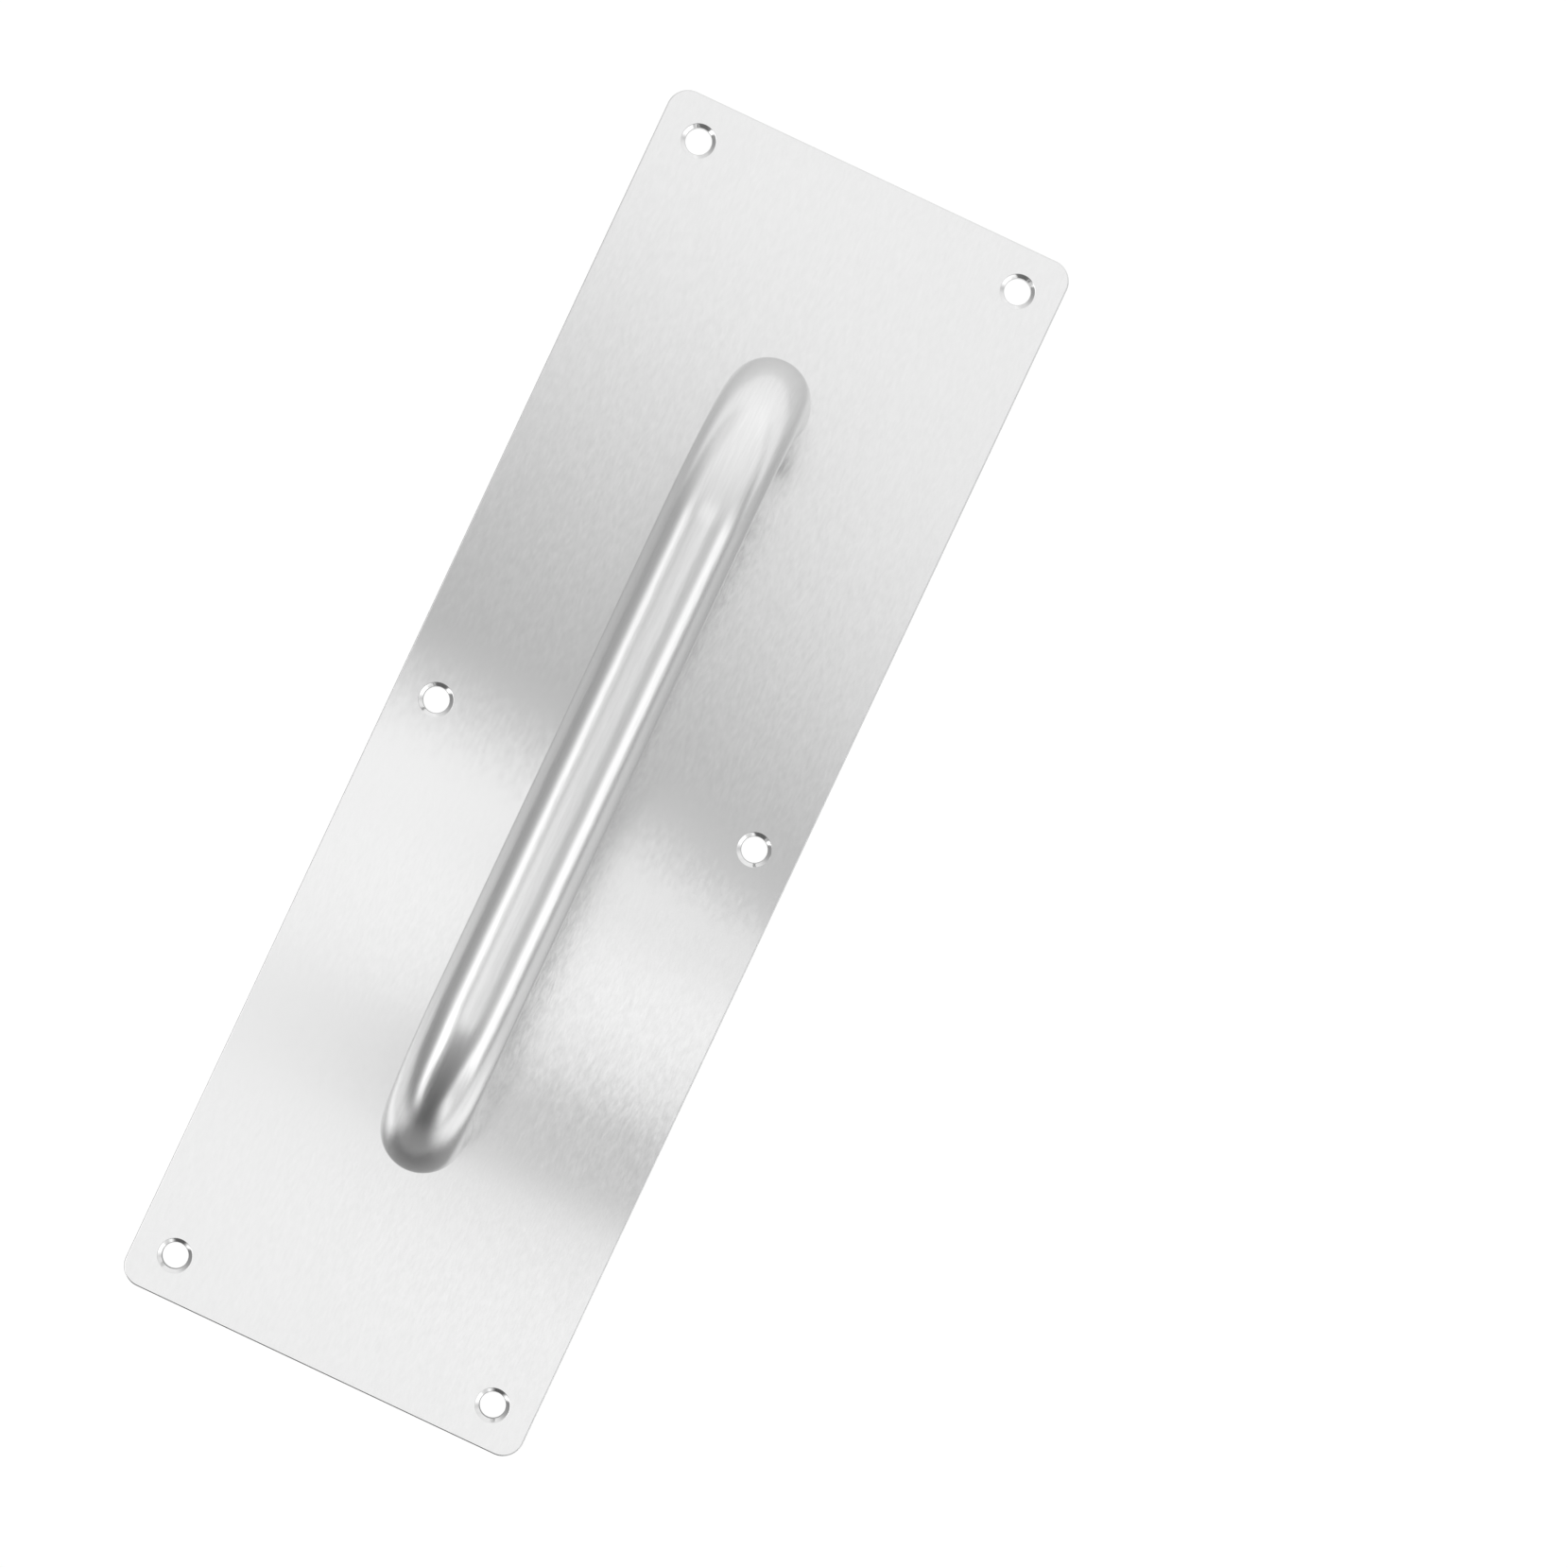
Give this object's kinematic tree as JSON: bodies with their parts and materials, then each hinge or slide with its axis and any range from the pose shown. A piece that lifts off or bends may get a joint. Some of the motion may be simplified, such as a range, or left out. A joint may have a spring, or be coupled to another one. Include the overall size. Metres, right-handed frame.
{
  "type": "pull handle on plate",
  "caption": "Door pull: a round-bar D handle standing on a flat rectangular plate with rounded corners and countersunk fixing holes, all in brushed stainless steel.",
  "frame": {"origin": "middle of the plate's back face, the face that lies against the door", "axes": "+X across the plate, +Y along the plate and up the door, +Z out of the door towards the hand"},
  "size_m": [0.1, 0.3, 0.0615],
  "materials": {
    "brushed_plate": "stainless sheet, fine brush lines along its length",
    "satin_tube": "stainless tube, fine satin grind along its length",
    "turned_plug": "turned stainless, plain",
    "screw_steel": "plain stainless, bright"
  },
  "bodies": {
    "root": {"backplate": "brushed_plate", "pull_handle": "satin_tube", "upper_end_plug": "turned_plug", "lower_end_plug": "turned_plug", "handle_screws": "screw_steel"}
  },
  "joints": []
}
